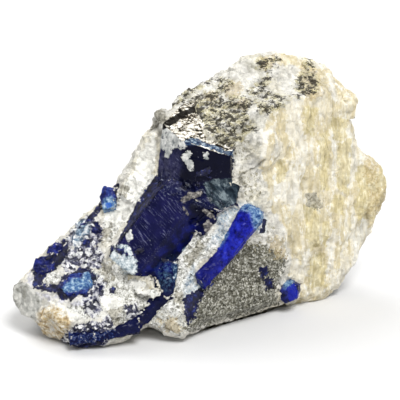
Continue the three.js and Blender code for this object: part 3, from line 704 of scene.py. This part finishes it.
# Materials
class Net:
    """Adds nodes to a material or a group, sets or links their inputs, and keeps the colour so far."""

    def __init__(self, tree):
        self.tree = tree
        self.color = None

    def add(self, kind, inputs=None, **settings):
        node = self.tree.nodes.new(kind)
        for key, value in settings.items():
            setattr(node, key, value)
        for key, value in (inputs or {}).items():
            self.set(node.inputs[key], value)
        return node

    def set(self, socket, value):
        if isinstance(value, bpy.types.NodeSocket):
            self.tree.links.new(value, socket)
        elif socket.type == "RGBA":
            socket.default_value = (*value, 1)
        else:
            socket.default_value = value

    def math(self, operation, a, b, clamp=False):
        return self.add("ShaderNodeMath", {0: a, 1: b}, operation=operation, use_clamp=clamp).outputs[0]

    def times(self, a, b):
        return self.math("MULTIPLY", a, b)

    def plus(self, a, b):
        return self.math("ADD", a, b)

    def part_of_each(self, a, share, b):
        """A share of one value and the rest of another."""
        return self.plus(self.times(a, share), self.times(b, 1 - share))

    def vectors(self, operation, a, b):
        return self.add("ShaderNodeVectorMath", {0: a, 1: b}, operation=operation).outputs

    def mix(self, share, a, b, blend="MIX"):
        node = self.add("ShaderNodeMix", {"Factor": share}, data_type="RGBA", blend_type=blend)
        self.set(node.inputs[6], a)
        self.set(node.inputs[7], b)
        return node.outputs[2]

    def over(self, color, top, mask, strength):
        """A colour with another laid over it, as strong as this where its mask is full."""
        return self.mix(self.times(mask, strength), color, top)

    def lay(self, top, mask, strength=1):
        """Lays a colour over the one that the material has so far."""
        self.color = self.over(self.color, top, mask, strength)

    def mark(self, name):
        return self.add("ShaderNodeAttribute", attribute_name=name).outputs["Fac"]

    def band(self, value, low, high):
        """0 below a low value and 1 above a high one, or the other way round where low is the larger."""
        node = self.add("ShaderNodeMapRange", {"Value": value, "From Min": low, "From Max": high}, clamp=True)
        return node.outputs[0]

    def ramp(self, value, *stops):
        """A colour for a value; each stop is a place on the ramp and then red, green and blue."""
        node = self.add("ShaderNodeValToRGB", {"Fac": value})
        elements = node.color_ramp.elements
        while len(elements) < len(stops):
            elements.new(0.5)
        for element, (place, *color) in zip(elements, stops):
            element.position = place
            element.color = (*color, 1)
        return node.outputs["Color"]

    def place(self, scale=(1, 1, 1), turn=(0, 0, 0)):
        """Object coordinates in millimetres."""
        coordinates = self.add("ShaderNodeTexCoord").outputs["Object"]
        in_mm = tuple(s / MM for s in scale)
        mapping = {"Vector": coordinates, "Rotation": turn, "Scale": in_mm}
        return self.add("ShaderNodeMapping", mapping).outputs[0]

    def drawn_out(self, where, direction, share):
        """Coordinates in which a pattern is drawn out along a direction."""
        along = self.vectors("DOT_PRODUCT", where, direction)["Value"]
        back = {0: direction, "Scale": self.times(along, share - 1)}
        shift = self.add("ShaderNodeVectorMath", back, operation="SCALE").outputs[0]
        return self.vectors("ADD", where, shift)[0]

    def noise(self, where, scale, detail=4, rough=0.6):
        inputs = {"Vector": where, "Scale": scale, "Detail": detail, "Roughness": rough}
        return self.add("ShaderNodeTexNoise", inputs).outputs["Fac"]

    def cells(self, where, scale):
        """A random value for each cell."""
        cell_color = self.add("ShaderNodeTexVoronoi", {"Vector": where, "Scale": scale}).outputs["Color"]
        return self.add("ShaderNodeSeparateColor", {"Color": cell_color}).outputs[0]


def new_group(name, inputs, outputs):
    group = bpy.data.node_groups.new(name, "ShaderNodeTree")
    for label, default in inputs:
        socket = group.interface.new_socket(label, in_out="INPUT", socket_type="NodeSocketFloat")
        socket.default_value = default
    for label in outputs:
        group.interface.new_socket(label, in_out="OUTPUT", socket_type="NodeSocketFloat")
    net = Net(group)
    return group, net, net.add("NodeGroupInput").outputs, net.add("NodeGroupOutput").inputs


def make_ragged_edge():
    """Turns a soft painted mark into one with a ragged, grainy edge."""
    sockets = [("Mark", 0), ("Raggedness", 1), ("Grain", 1)]
    group, net, given, result = new_group("ragged_edge", sockets, ["Mask"])
    coarse = net.noise(net.place(), net.times(given["Grain"], 0.9), 4, 0.65)
    shift = net.times(net.math("SUBTRACT", coarse, 0.5), net.times(given["Raggedness"], 2.4))
    # A mark of zero stays clear, however ragged its edge is.
    inner = net.plus(given["Mark"], net.times(shift, net.band(given["Mark"], 0.02, 0.3)))
    net.set(result["Mask"], net.band(inner, 0.42, 0.58))
    return group


def make_cleaved_grain():
    """Height of fine grain with small flat facets, for bump, and a tone for each grain."""
    group, net, given, result = new_group("cleaved_grain", [("Size", 0.5)], ["Height", "Tone"])
    where = net.place()
    heights = []
    tones = []
    for share, finer in ((1, 1), (0.6, 2.3)):
        scale = net.math("DIVIDE", finer, given["Size"])
        cell = net.add("ShaderNodeTexVoronoi", {"Vector": where, "Scale": scale}).outputs
        away = net.vectors("SUBTRACT", where, cell["Position"])[0]
        slope = net.vectors("SUBTRACT", cell["Color"], (0.5, 0.5, 0.5))[0]
        plane = net.vectors("DOT_PRODUCT", away, slope)["Value"]
        heights.append(net.times(net.times(plane, scale), share / finer))
        tones.append(net.add("ShaderNodeSeparateColor", {"Color": cell["Color"]}).outputs[0])
    net.set(result["Height"], net.plus(*heights))
    net.set(result["Tone"], net.times(net.plus(*tones), 0.5))
    return group


RAGGED_EDGE = make_ragged_edge()
CLEAVED_GRAIN = make_cleaved_grain()


def ragged(net, name, raggedness=1.0, grain=1.0):
    """A mark with a ragged edge; a larger grain value makes the edge finer."""
    node = net.add("ShaderNodeGroup", node_tree=RAGGED_EDGE)
    net.set(node.inputs["Mark"], net.mark(name))
    node.inputs["Raggedness"].default_value = raggedness
    node.inputs["Grain"].default_value = grain
    return node.outputs["Mask"]


def grain_bump(net, shader, size, strength, depth, share=1.0):
    """Fine grain on a material; size and depth are in millimetres, and share is how much a place has."""
    grain = net.add("ShaderNodeGroup", node_tree=CLEAVED_GRAIN)
    grain.inputs["Size"].default_value = size
    height = net.times(grain.outputs["Height"], share)
    bump = net.add("ShaderNodeBump", {"Height": height, "Strength": strength, "Distance": depth * MM})
    net.set(shader.inputs["Normal"], bump.outputs["Normal"])
    return grain.outputs["Tone"]


def new_material(name):
    material = bpy.data.materials.new(name)
    material.use_nodes = True
    shader = next(n for n in material.node_tree.nodes if n.type == "BSDF_PRINCIPLED")
    return material, Net(material.node_tree), shader


def lay_plain_marble(net, where, medium, speck):
    """Pale stone with warm and grey parts, dark flecks and white ones."""
    net.color = net.ramp(
        net.noise(where, 0.14),
        (0.3, 0.66, 0.63, 0.54), (0.5, 0.76, 0.74, 0.68), (0.7, 0.6, 0.58, 0.49),
    )
    warm = net.band(net.noise(where, 0.085), 0.5, 0.62)
    net.lay((0.72, 0.66, 0.48), warm, 0.6)
    net.lay((0.52, 0.51, 0.47), net.band(medium, 0.54, 0.66), 0.5)
    net.lay((0.28, 0.27, 0.21), net.band(speck, 0.57, 0.66), 0.65)
    net.lay((0.88, 0.87, 0.83), net.band(speck, 0.44, 0.36), 0.7)


def cleaved_cream(net, where, upright, fine_streak):
    """Cream marble, cleaved into upright blades, each with a tone of its own."""
    cream = net.ramp(
        net.noise(upright, 0.33, 4, 0.62),
        (0.38, 0.84, 0.81, 0.71), (0.46, 0.77, 0.7, 0.53), (0.52, 0.6, 0.51, 0.3),
        (0.57, 0.72, 0.64, 0.44), (0.64, 0.82, 0.77, 0.62),
    )
    cream = net.over(cream, (0.94, 0.93, 0.87), net.band(fine_streak, 0.54, 0.62), 0.85)
    cream = net.over(cream, (0.52, 0.44, 0.28), net.band(fine_streak, 0.43, 0.37), 0.6)
    wavy = net.vectors("ADD", upright, net.times(net.noise(where, 1.1, 4, 0.7), 2.2))[0]
    blade = net.cells(wavy, 0.45)
    cream = net.over(cream, (0.6, 0.51, 0.3), net.band(blade, 0.6, 0.64), 0.4)
    return net.over(cream, (0.9, 0.88, 0.81), net.band(blade, 0.36, 0.32), 0.5)


def add_pale_parts(net, medium, speck, fine_streak):
    """Tan streaks, rough white zone, clean white patches, painted ridge highlight, lilac tinge beside the
    crystals.
    """
    tan = net.ramp(fine_streak, (0.36, 0.48, 0.4, 0.2), (0.52, 0.66, 0.57, 0.31), (0.66, 0.84, 0.78, 0.56))
    net.lay(tan, ragged(net, "tan", 0.9, 0.7), 0.75)
    white = net.ramp(
        speck,
        (0.39, 0.08, 0.08, 0.065), (0.46, 0.42, 0.42, 0.38), (0.515, 0.84, 0.84, 0.8),
        (0.6, 0.96, 0.96, 0.94),
    )
    net.lay(white, ragged(net, "white", 0.7), 0.85)
    # Near white: clean patches, and a painted highlight along the left ridge
    net.lay((0.97, 0.96, 0.89), ragged(net, "clean_and_highlight", 1.2, 0.8), 0.85)
    tinge = net.times(ragged(net, "lilac", 1.6, 1.3), net.band(medium, 0.4, 0.55))
    net.lay((0.5, 0.5, 0.68), tinge, 0.45)


def add_grey_parts(net, where, medium, speck, fine):
    """The granular sandy patch, dark freckles, the glassy grey toe and small grey patches."""
    granules = net.part_of_each(net.cells(where, 3.2), 0.4, net.noise(where, 3.6, 4, 0.8))
    sand = net.ramp(
        granules,
        (0.3, 0.04, 0.038, 0.025), (0.44, 0.13, 0.125, 0.095), (0.56, 0.23, 0.225, 0.18),
        (0.72, 0.62, 0.61, 0.55),
    )
    net.lay(sand, ragged(net, "sand", 1.1, 1.6))
    freckled = net.times(net.band(speck, 0.52, 0.6), ragged(net, "speckle", 1, 1.2))
    freckles = net.ramp(fine, (0.4, 0.12, 0.11, 0.06), (0.62, 0.42, 0.38, 0.24))
    net.lay(freckles, freckled, 0.85)
    glass = net.ramp(medium, (0.36, 0.22, 0.22, 0.19), (0.48, 0.45, 0.45, 0.42), (0.62, 0.68, 0.67, 0.62))
    net.lay(glass, ragged(net, "toe_grey", 0.5, 0.6), 0.9)
    grey = net.ramp(speck, (0.42, 0.14, 0.13, 0.09), (0.58, 0.52, 0.49, 0.4))
    net.lay(grey, ragged(net, "grey", 1.6, 1.1), 0.8)


def add_brown_parts(net, where, speck):
    """The honey-brown patch on the toe, and ochre stains."""
    honey = net.ramp(
        net.noise(where, 0.85, 4, 0.7),
        (0.36, 0.2, 0.12, 0.04), (0.45, 0.46, 0.32, 0.13), (0.53, 0.66, 0.54, 0.33),
        (0.62, 0.92, 0.88, 0.78),
    )
    patchy = net.band(net.noise(where, 0.5, 4, 0.7), 0.36, 0.5)
    net.lay(honey, net.times(net.band(net.mark("honey"), 0.05, 0.8), patchy), 0.9)
    ochre = net.ramp(speck, (0.4, 0.3, 0.2, 0.06), (0.56, 0.62, 0.5, 0.26), (0.64, 0.8, 0.74, 0.6))
    net.lay(ochre, ragged(net, "ochre", 1.5, 1.2), 0.55)


def add_blue_parts(net, where, fine, is_navy):
    """Mottled dark patches, the soft pale blue crust, and the navy that surrounds the crystals."""
    blotch = net.part_of_each(net.cells(where, 1.5), 0.35, net.noise(where, 1.9, 4, 0.8))
    mottle = net.ramp(
        blotch,
        (0.42, 0.003, 0.004, 0.026), (0.48, 0.02, 0.024, 0.1), (0.52, 0.24, 0.24, 0.3),
        (0.58, 0.5, 0.5, 0.53), (0.66, 0.88, 0.88, 0.87),
    )
    net.lay(mottle, ragged(net, "mottle", 0.9, 1.3), 0.95)
    crust = net.ramp(
        blotch,
        (0.34, 0.1, 0.18, 0.28), (0.44, 0.3, 0.41, 0.5), (0.54, 0.6, 0.67, 0.71),
        (0.68, 0.85, 0.87, 0.87),
    )
    is_crust = net.times(net.band(net.mark("blue_crust"), 0.05, 0.85), net.band(fine, 0.36, 0.54))
    net.lay(crust, is_crust, 0.9)
    navy = net.ramp(
        net.noise(where, 0.8, 4, 0.7),
        (0.4, 0.002, 0.003, 0.016), (0.56, 0.004, 0.006, 0.06), (0.7, 0.03, 0.05, 0.24),
    )
    net.lay(navy, is_navy, 0.97)


def add_weathering(net, where, fine):
    """Black specks in ochre haloes, which thin out towards the edge of the weathered parts."""
    weathered = net.mark("weathered")
    edge = net.band(weathered, 0.02, 0.3)
    more = net.times(weathered, 0.13)
    level = net.drawn_out(where, (1, 0, 0), 0.6)
    halo = net.band(net.plus(net.noise(level, 0.7, 5, 0.72), more), 0.56, 0.66)
    haloes = net.ramp(fine, (0.4, 0.32, 0.27, 0.1), (0.5, 0.6, 0.54, 0.29), (0.6, 0.84, 0.81, 0.68))
    net.lay(haloes, net.times(halo, edge), 0.75)
    pepper = net.band(net.plus(net.noise(level, 0.95, 5, 0.8), more), 0.605, 0.645)
    net.lay((0.025, 0.021, 0.015), net.times(pepper, edge), 0.93)


def shade_grains(net, shader, grain, is_cream):
    """Gives each grain a tone of its own, and paints shade into the hollows between the grains."""
    evenness = net.math("SUBTRACT", 1, net.times(is_cream, 0.5))
    fine_grain = grain_bump(net, shader, 0.75, 1.0, 0.75, evenness)
    grain_tone = net.math("SUBTRACT", net.times(net.plus(grain, fine_grain), 0.5), 0.5)
    tone = net.plus(net.times(net.times(grain_tone, evenness), 0.44), 0.98)
    # Painted shade: low places in the relief are darkened
    hollow_shade = net.plus(net.times(net.band(net.mark("relief"), 0.25, 0.55), 0.22), 0.8)
    shade = net.times(tone, hollow_shade)
    shades = net.add("ShaderNodeCombineColor", {0: shade, 1: shade, 2: shade}).outputs[0]
    net.color = net.mix(1.0, net.color, shades, "MULTIPLY")


def make_marble():
    material, net, shader = new_material("calcite_marble")
    where = net.place()
    medium = net.noise(where, 0.6)
    speck = net.noise(where, 1.5, 5, 0.75)
    fine = net.noise(where, 2.6, 4, 0.8)
    upright = net.place(scale=(1, 1, 0.24), turn=(0, math.radians(5), 0))
    fine_streak = net.noise(upright, 1.3, 5, 0.75)
    is_cream = ragged(net, "cream", 0.6, 0.4)
    is_navy = ragged(net, "navy", 1.2, 1.5)

    lay_plain_marble(net, where, medium, speck)
    cream = cleaved_cream(net, where, upright, fine_streak)
    net.lay(cream, is_cream, 0.9)
    # The sides that the photograph doesn't show are painted paler, as painted light against the shade they
    # lie in, with patches of the cream marble.
    unseen = net.mark("unseen")
    net.lay((0.84, 0.83, 0.78), unseen, 0.5)
    patches = net.band(net.noise(where, 0.08), 0.46, 0.54)
    net.lay(cream, net.times(unseen, patches), 0.85)
    add_pale_parts(net, medium, speck, fine_streak)
    add_grey_parts(net, where, medium, speck, fine)
    add_brown_parts(net, where, speck)
    add_blue_parts(net, where, fine, is_navy)
    # Painted shade: the dark arc over the head's top edge
    net.lay((0.03, 0.025, 0.018), net.band(net.mark("arch"), 0.3, 0.7), 0.85)
    # Painted shadow along the undercut strip at the base
    net.lay((0.03, 0.027, 0.022), net.mark("undercut"), 0.85)
    add_weathering(net, where, fine)
    # Painted shade below the ledge of the crack
    net.lay((0.16, 0.15, 0.11), net.mark("crack_shade"), 0.5)
    shade_grains(net, shader, net.cells(where, 0.9), is_cream)

    net.set(shader.inputs["Base Color"], net.color)
    roughness = net.math("ADD", net.band(medium, 0.2, 0.9), net.times(is_navy, 0.4), clamp=True)
    net.set(shader.inputs["Roughness"], roughness)
    shader.inputs["Specular IOR Level"].default_value = 0.18
    return material


def lay_deep_blues(net, where):
    """Near-black navy of the prism, its violet and royal parts, and the teal shoulder."""
    cloud = net.noise(where, 0.35)
    net.color = net.ramp(cloud, (0.35, 0.003, 0.004, 0.022), (0.65, 0.007, 0.009, 0.05))
    net.lay((0.001, 0.0012, 0.006), net.mark("black"), 0.8)
    # On the head's left facet the violet is painted sheen; on the prism it is the violet part
    violet = net.ramp(cloud, (0.35, 0.003, 0.004, 0.026), (0.7, 0.01, 0.01, 0.062))
    net.lay(violet, net.mark("violet"), 0.9)
    royal = net.ramp(
        net.noise(where, 0.4),
        (0.38, 0.001, 0.002, 0.014), (0.52, 0.002, 0.003, 0.04), (0.68, 0.006, 0.01, 0.13),
    )
    net.lay(royal, net.mark("royal"), 0.9)
    teal = net.ramp(
        net.noise(net.drawn_out(where, (-0.55, 0.4, 0.73), 0.35), 0.75, 5, 0.7),
        (0.36, 0.004, 0.007, 0.01), (0.45, 0.016, 0.026, 0.034), (0.53, 0.045, 0.065, 0.08),
        (0.64, 0.22, 0.27, 0.29),
    )
    net.lay(teal, ragged(net, "teal", 0.8, 0.8), 0.9)


def add_flaws(net, where):
    """Painted sheen on the head's left facet, haze, fine white striations round the prism, flakes on the
    broken part, and small flecks.
    """
    fine = net.noise(where, 1.4, 5, 0.8)
    # Painted sheen on the head's left facet
    sheen_mask = net.times(net.mark("painted_sheen"), net.band(fine, 0.4, 0.95))
    net.lay((0.1, 0.1, 0.17), sheen_mask)
    haze = net.times(net.mark("haze"), net.band(fine, 0.47, 0.75))
    net.lay((0.1, 0.2, 0.32), haze)
    lined = net.drawn_out(where, (0.652, -0.496, -0.574), 0.07)
    line = net.band(net.noise(lined, 5, 4, 0.8), 0.57, 0.64)
    here = net.band(net.noise(where, 0.42, 3), 0.4, 0.56)
    scratch = net.times(net.times(line, here), net.mark("violet"))
    net.lay((0.24, 0.25, 0.42), scratch, 0.7)
    flaked = net.drawn_out(where, (0.8, -0.2, -0.55), 0.4)
    flake = net.band(net.noise(flaked, 2.2, 5, 0.85), 0.57, 0.64)
    net.lay((0.32, 0.36, 0.48), net.times(flake, net.mark("broken")), 0.7)
    fleck = net.band(net.noise(where, 1.5, 4, 0.8), 0.66, 0.7)
    net.lay((0.34, 0.36, 0.44), fleck, 0.5)


def add_pale_crusts(net, where, milky):
    """The mixed band along the foot, milky skin, chipped slivers and the pale cheek."""
    foot = net.ramp(
        net.noise(where, 1.1, 5, 0.75),
        (0.46, 0.003, 0.004, 0.03), (0.53, 0.012, 0.03, 0.13), (0.6, 0.12, 0.13, 0.17),
        (0.68, 0.6, 0.6, 0.6),
    )
    net.lay(foot, ragged(net, "foot_mix", 0.8, 1.2), 0.95)
    milk = net.ramp(
        net.noise(where, 0.8, 5, 0.7),
        (0.36, 0.2, 0.22, 0.22), (0.5, 0.45, 0.46, 0.44), (0.62, 0.72, 0.72, 0.69),
    )
    net.lay(milk, milky, 0.94)
    chip = net.ramp(
        net.noise(where, 1.6, 4, 0.75),
        (0.4, 0.05, 0.048, 0.05), (0.54, 0.2, 0.185, 0.165), (0.66, 0.55, 0.52, 0.47),
    )
    net.lay(chip, ragged(net, "sliver", 1.2, 1.8), 0.85)
    cheek = net.ramp(
        net.noise(where, 1.3, 5, 0.8),
        (0.38, 0.12, 0.18, 0.22), (0.46, 0.34, 0.4, 0.43), (0.54, 0.62, 0.67, 0.68),
        (0.64, 0.86, 0.88, 0.87),
    )
    net.lay(cheek, ragged(net, "cheek", 1.4, 1.3), 0.9)


def add_top_and_rims(net, where, weathered):
    """The speckled, weathered top of the head, and its pale and shaded rims."""
    spots = net.noise(net.drawn_out(where, (1, 0, 0), 0.5), 1.15, 5, 0.82)
    weather = net.ramp(
        spots,
        (0.44, 0.95, 0.94, 0.9), (0.475, 0.74, 0.68, 0.54), (0.505, 0.14, 0.11, 0.07),
        (0.54, 0.008, 0.007, 0.006),
    )
    net.lay(weather, weathered)
    pale = net.ramp(
        net.noise(where, 1.3, 4, 0.7),
        (0.4, 0.005, 0.012, 0.05), (0.5, 0.03, 0.07, 0.14), (0.58, 0.2, 0.28, 0.36),
        (0.68, 0.7, 0.75, 0.78),
    )
    net.lay(pale, ragged(net, "pale_rim", 0.8, 1.4), 0.9)
    net.lay((0.006, 0.005, 0.004), ragged(net, "rim_shade", 0.8, 1.6), 0.97)


def make_dark_crystal():
    material, net, shader = new_material("dark_afghanite")
    where = net.place()
    milky = ragged(net, "milky", 1.7, 1.7)
    weathered = net.band(net.mark("top"), 0.35, 0.6)
    lay_deep_blues(net, where)
    add_flaws(net, where)
    add_pale_crusts(net, where, milky)
    add_top_and_rims(net, where, weathered)
    net.set(shader.inputs["Base Color"], net.color)
    dull = net.math("MAXIMUM", weathered, net.times(milky, 0.5))
    net.set(shader.inputs["Roughness"], net.plus(net.times(dull, 0.55), 0.14))
    grain_bump(net, shader, 0.9, 0.1, 0.3)
    shader.inputs["Specular IOR Level"].default_value = 0.08
    return material


def make_blue(name, dark, mid, bright, scale, pale_mark, core):
    """A small blue crystal: clear blue, with a paler part where its mark is painted."""
    material, net, shader = new_material(name)
    where = net.place()
    value = net.noise(where, scale, 5, 0.7)
    net.color = net.ramp(value, (0.38, *dark), (0.5, *mid), (0.66, *bright))
    pale = net.ramp(
        net.noise(where, 1.2, 5, 0.75),
        (0.36, 0.008, 0.03, 0.14), (0.47, 0.05, 0.13, 0.29), (0.56, 0.2, 0.33, 0.46),
        (0.7, 0.64, 0.74, 0.8),
    )
    net.lay(pale, net.band(net.mark(pale_mark), 0.1, 0.95), 0.9)
    net.lay(core, ragged(net, "core", 0.6, 1.3), 0.9)
    net.lay(dark, net.mark("deep_end"), 0.8)
    net.set(shader.inputs["Base Color"], net.color)
    net.set(shader.inputs["Roughness"], net.band(value, 0.15, 1.3))
    grain_bump(net, shader, 0.7, 0.3, 0.4)
    shader.inputs["Specular IOR Level"].default_value = 0.16
    return material


MARBLE = make_marble()
DARK = make_dark_crystal()
ROYAL = make_blue(
    "royal_afghanite", (0.002, 0.003, 0.08), (0.006, 0.009, 0.27), (0.02, 0.035, 0.52),
    scale=0.6, pale_mark="crust", core=(0.01, 0.02, 0.3),
)
PALE = make_blue(
    "pale_afghanite", (0.004, 0.006, 0.05), (0.008, 0.014, 0.13), (0.05, 0.1, 0.34),
    scale=0.8, pale_mark="streak", core=(0.02, 0.1, 0.42),
)
DEEP = make_blue(
    "deep_afghanite", (0.002, 0.004, 0.03), (0.005, 0.008, 0.08), (0.02, 0.03, 0.24),
    scale=0.7, pale_mark="crust", core=(0.008, 0.014, 0.3),
)
STONE_CREASE = math.radians(22)
CRYSTAL_CREASE = math.radians(28)


def dress(piece, material, node, crease):
    piece.data.materials.clear()
    piece.data.materials.append(material)
    select_only(piece)
    bpy.ops.object.shade_smooth_by_angle(angle=crease)
    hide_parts(node)
    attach(piece, "root")


dress(stone, MARBLE, "calcite_matrix", STONE_CREASE)
dress(main_crystal, DARK, MAIN_NODE, CRYSTAL_CREASE)
SMALL_MATERIALS = {"royal_afghanite": ROYAL, "dark_afghanite": DEEP, "pale_afghanite": PALE}
for name, node, slot, _, _ in SMALL_CRYSTALS:
    dress(small_crystals[name], SMALL_MATERIALS[slot], node, CRYSTAL_CREASE)

# Floor and light
FLOOR_SIZE = 6
FLOOR_HEIGHT = -0.02 * MM
FLOOR_GREY = 0.715

bpy.ops.mesh.primitive_plane_add(size=FLOOR_SIZE, location=(0, 0, FLOOR_HEIGHT))
floor = bpy.context.object
floor.name = "floor"
floor_material, _, floor_shader = new_material("floor")
floor_shader.inputs["Base Color"].default_value = (FLOOR_GREY, FLOOR_GREY, FLOOR_GREY, 1)
floor_shader.inputs["Roughness"].default_value = 0.9
floor_shader.inputs["Specular IOR Level"].default_value = 0.1
floor.data.materials.append(floor_material)


def sun(name, strength, spread, azimuth, elevation):
    """A distant lamp; its spread and its two directions are in degrees."""
    lamp = bpy.data.objects.new(name, bpy.data.lights.new(name, "SUN"))
    lamp.data.energy = strength
    lamp.data.angle = math.radians(spread)
    lamp.rotation_euler = (math.radians(90 - elevation), 0, math.radians(azimuth))
    bpy.context.scene.collection.objects.link(lamp)


sun("key_light", strength=2.75, spread=24, azimuth=22, elevation=55)
sun("back_light", strength=1.4, spread=40, azimuth=-140, elevation=55)
world = bpy.data.worlds.new("studio")
bpy.context.scene.world = world
world.use_nodes = True
sky = Net(world.node_tree)
sky_direction = sky.add("ShaderNodeTexCoord").outputs["Generated"]
sky_height = sky.add("ShaderNodeSeparateXYZ", {0: sky_direction}).outputs["Z"]
background = world.node_tree.nodes["Background"]
sky.set(background.inputs["Color"], sky.ramp(sky_height, (0.0, 0.2, 0.2, 0.2), (0.9, 0.75, 0.75, 0.75)))
background.inputs["Strength"].default_value = 0.9
bpy.context.scene.view_settings.view_transform = "Standard"
